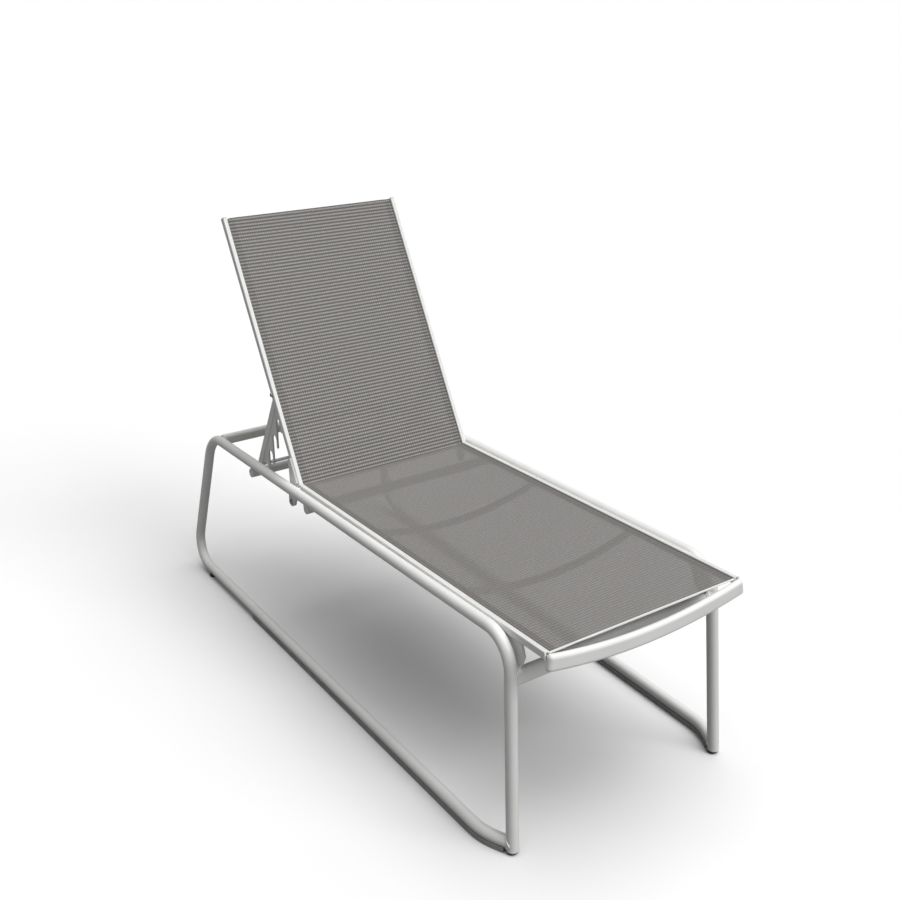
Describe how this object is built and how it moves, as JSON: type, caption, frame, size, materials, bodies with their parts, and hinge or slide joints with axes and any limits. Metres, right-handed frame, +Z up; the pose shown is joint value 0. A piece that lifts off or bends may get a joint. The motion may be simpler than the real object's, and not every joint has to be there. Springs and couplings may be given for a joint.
{
  "type": "sling chaise lounge",
  "caption": "Outdoor chaise lounge with a woven sling seat and reclining sling back on looped tube side frames, held by a notched swinging prop.",
  "frame": {"origin": "middle of the floor under the whole piece, the centre of the bounding box's underside", "axes": "+X towards the left side of someone lying on it, +Y from the foot end to the head end, +Z up"},
  "size_m": [0.7316, 1.6768, 1.1305],
  "materials": {
    "frame_paint": "satin powder coat, white",
    "sling_mesh": "woven coated polyester mesh, warm grey",
    "grey_plastic": "moulded, matte, grey",
    "fixings": "stainless, plain"
  },
  "bodies": {
    "frame": {"left_side_frame": "frame_paint", "right_side_frame": "frame_paint", "rear_crossbar": "frame_paint", "catch_crossbar": "frame_paint", "hinge_crossbar": "frame_paint", "front_crossbar": "frame_paint", "rail_brackets": "frame_paint", "left_seat_rail": "frame_paint", "right_seat_rail": "frame_paint", "foot_bow": "frame_paint", "foot_bow_caps": "frame_paint", "front_seat_bow": "frame_paint", "rear_seat_bow": "frame_paint", "hinge_tabs": "frame_paint", "seat_sling": "sling_mesh", "seat_splines": "grey_plastic", "foot_hem_bar": "frame_paint", "seat_rail_plugs": "grey_plastic", "foot_glides": "grey_plastic", "glide_screws": "fixings", "skid_strips": "grey_plastic", "hinge_bolts": "fixings", "hinge_nuts": "fixings", "hinge_washers": "fixings"},
    "backrest": {"left_back_rail": "frame_paint", "right_back_rail": "frame_paint", "back_top_bow": "frame_paint", "back_bottom_tube": "frame_paint", "hinge_plates": "frame_paint", "back_sling": "sling_mesh", "back_splines": "grey_plastic", "back_rail_plugs": "grey_plastic", "pivot_bolts": "fixings", "pivot_nuts": "fixings", "pivot_washers": "fixings"},
    "prop": {"left_prop_leg": "frame_paint", "right_prop_leg": "frame_paint", "prop_tie_rod": "frame_paint"}
  },
  "joints": [
    {"name": "back_recline", "type": "hinge", "parent": "frame", "child": "backrest", "pos_m": [0, 0.26963, 0.41574], "axis": [1, 0, 0], "range_deg": [-58, 0]},
    {"name": "prop_swing", "type": "hinge", "parent": "backrest", "child": "prop", "pos_m": [0, 0.37445, 0.69096], "axis": [1, 0, 0], "range_deg": [0, 84.5]}
  ],
  "couplings": [
    {"joint": "prop_swing", "follows": "back_recline", "ratio": -1.45}
  ]
}
